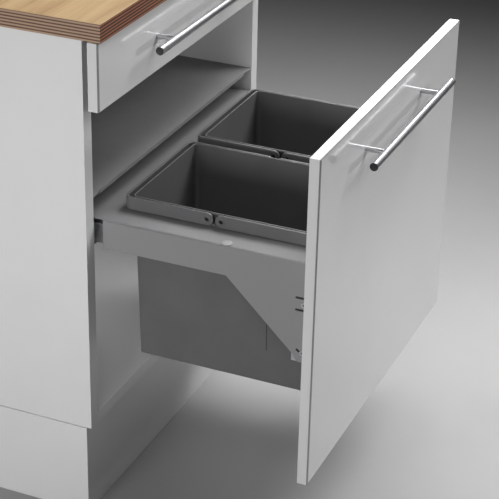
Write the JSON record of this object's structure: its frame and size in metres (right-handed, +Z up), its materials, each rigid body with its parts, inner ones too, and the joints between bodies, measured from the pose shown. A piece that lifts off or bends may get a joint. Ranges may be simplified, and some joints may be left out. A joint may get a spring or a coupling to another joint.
{
  "type": "kitchen base cabinet with pull-out waste bins",
  "caption": "Free-standing kitchen base cabinet with a drawer and a pull-out carrier for lift-out waste bins.",
  "frame": {"origin": "on the floor, at the middle of the whole object's footprint as it stands with the carrier pulled out", "axes": "+X to the right facing the fronts, +Y to the back, +Z up"},
  "size_m": [0.606, 0.909, 0.788],
  "materials": {
    "white_lacquer": "high-gloss white lacquer on board",
    "white_melamine": "satin white melamine on board",
    "birch_top": "oiled multi-layer hardwood, layered edge",
    "grey_sheet": "silver-grey powder coat",
    "zinc": "zinc-plated",
    "bar_steel": "polished",
    "dark_plastic": "fine-grained anthracite",
    "drawer_grey": "light grey melamine on board"
  },
  "bodies": {
    "cabinet": {"plinth_left": "white_lacquer", "plinth_right": "white_lacquer", "plinth_front": "white_lacquer", "plinth_back": "white_melamine", "side_left": "white_lacquer", "side_right": "white_lacquer", "bottom_panel": "white_melamine", "back_panel": "white_melamine", "top_rail_front": "white_melamine", "top_rail_rear": "white_melamine", "wall_batten": "white_melamine", "worktop": "birch_top", "cover_plate": "grey_sheet", "cover_screws": "zinc", "pull_rail_fixed_left": "zinc", "pull_rail_fixed_right": "zinc", "hanger_left": "zinc", "hanger_right": "zinc", "drawer_rail_fixed_left": "zinc", "drawer_rail_fixed_right": "zinc", "rail_screws": "zinc"},
    "drawer": {"drawer_front": "white_lacquer", "drawer_bar": "bar_steel", "drawer_posts": "bar_steel", "drawer_bar_screws": "zinc", "drawer_side_left": "drawer_grey", "drawer_side_right": "drawer_grey", "drawer_back": "drawer_grey", "drawer_bottom": "drawer_grey", "drawer_rail_inner_left": "zinc", "drawer_rail_inner_right": "zinc"},
    "carrier": {"carrier_top": "grey_sheet", "carrier_side_left": "grey_sheet", "carrier_side_right": "grey_sheet", "carrier_beam_left": "zinc", "carrier_beam_right": "zinc", "front_bracket_left": "zinc", "front_bracket_right": "zinc", "bracket_screws": "zinc", "carrier_caps": "grey_sheet", "pull_rail_inner_left": "zinc", "pull_rail_inner_right": "zinc", "front_panel": "white_lacquer", "front_bar": "bar_steel", "front_posts": "bar_steel", "front_bar_screws": "zinc"},
    "drawer_rail_middle_left": {"drawer_rail_middle_left": "zinc"},
    "pull_rail_middle_left": {"pull_rail_middle_left": "zinc"},
    "drawer_rail_middle_right": {"drawer_rail_middle_right": "zinc"},
    "pull_rail_middle_right": {"pull_rail_middle_right": "zinc"},
    "bin_left": {"bin_left": "dark_plastic", "bin_left_pins": "dark_plastic"},
    "bin_left_grip_rear": {"bin_left_grip_rear": "dark_plastic"},
    "bin_left_grip_front": {"bin_left_grip_front": "dark_plastic"},
    "bin_right": {"bin_right": "dark_plastic", "bin_right_pins": "dark_plastic"},
    "bin_right_grip_rear": {"bin_right_grip_rear": "dark_plastic"},
    "bin_right_grip_front": {"bin_right_grip_front": "dark_plastic"}
  },
  "joints": [
    {"name": "drawer_slide", "type": "slide", "parent": "cabinet", "child": "drawer", "axis": [0, -1, 0], "range_m": [0, 0.4]},
    {"name": "carrier_slide", "type": "slide", "parent": "cabinet", "child": "carrier", "axis": [0, 1, 0], "range_m": [0, 0.32]},
    {"name": "drawer_rail_middle_left_slide", "type": "slide", "parent": "cabinet", "child": "drawer_rail_middle_left", "axis": [0, -1, 0], "range_m": [0, 0.2]},
    {"name": "pull_rail_middle_left_slide", "type": "slide", "parent": "cabinet", "child": "pull_rail_middle_left", "axis": [0, 1, 0], "range_m": [0, 0.16]},
    {"name": "drawer_rail_middle_right_slide", "type": "slide", "parent": "cabinet", "child": "drawer_rail_middle_right", "axis": [0, -1, 0], "range_m": [0, 0.2]},
    {"name": "pull_rail_middle_right_slide", "type": "slide", "parent": "cabinet", "child": "pull_rail_middle_right", "axis": [0, 1, 0], "range_m": [0, 0.16]},
    {"name": "bin_left_lift", "type": "slide", "parent": "carrier", "child": "bin_left", "axis": [0, 0, -1], "range_m": [-0.15, 0]},
    {"name": "bin_left_grip_rear_hinge", "type": "hinge", "parent": "bin_left", "child": "bin_left_grip_rear", "pos_m": [-0.115, -0.2255, 0.4968], "axis": [-1, 0, 0], "range_deg": [-88, 0]},
    {"name": "bin_left_grip_front_hinge", "type": "hinge", "parent": "bin_left", "child": "bin_left_grip_front", "pos_m": [-0.115, -0.2475, 0.4968], "axis": [1, 0, 0], "range_deg": [-88, 0]},
    {"name": "bin_right_lift", "type": "slide", "parent": "carrier", "child": "bin_right", "axis": [0, 0, -1], "range_m": [-0.15, 0]},
    {"name": "bin_right_grip_rear_hinge", "type": "hinge", "parent": "bin_right", "child": "bin_right_grip_rear", "pos_m": [0.125, -0.2255, 0.4968], "axis": [-1, 0, 0], "range_deg": [-88, 0]},
    {"name": "bin_right_grip_front_hinge", "type": "hinge", "parent": "bin_right", "child": "bin_right_grip_front", "pos_m": [0.125, -0.2475, 0.4968], "axis": [1, 0, 0], "range_deg": [-88, 0]}
  ],
  "couplings": [
    {"joint": "drawer_rail_middle_left_slide", "follows": "drawer_slide", "ratio": 0.5},
    {"joint": "pull_rail_middle_left_slide", "follows": "carrier_slide", "ratio": 0.5},
    {"joint": "drawer_rail_middle_right_slide", "follows": "drawer_slide", "ratio": 0.5},
    {"joint": "pull_rail_middle_right_slide", "follows": "carrier_slide", "ratio": 0.5}
  ]
}
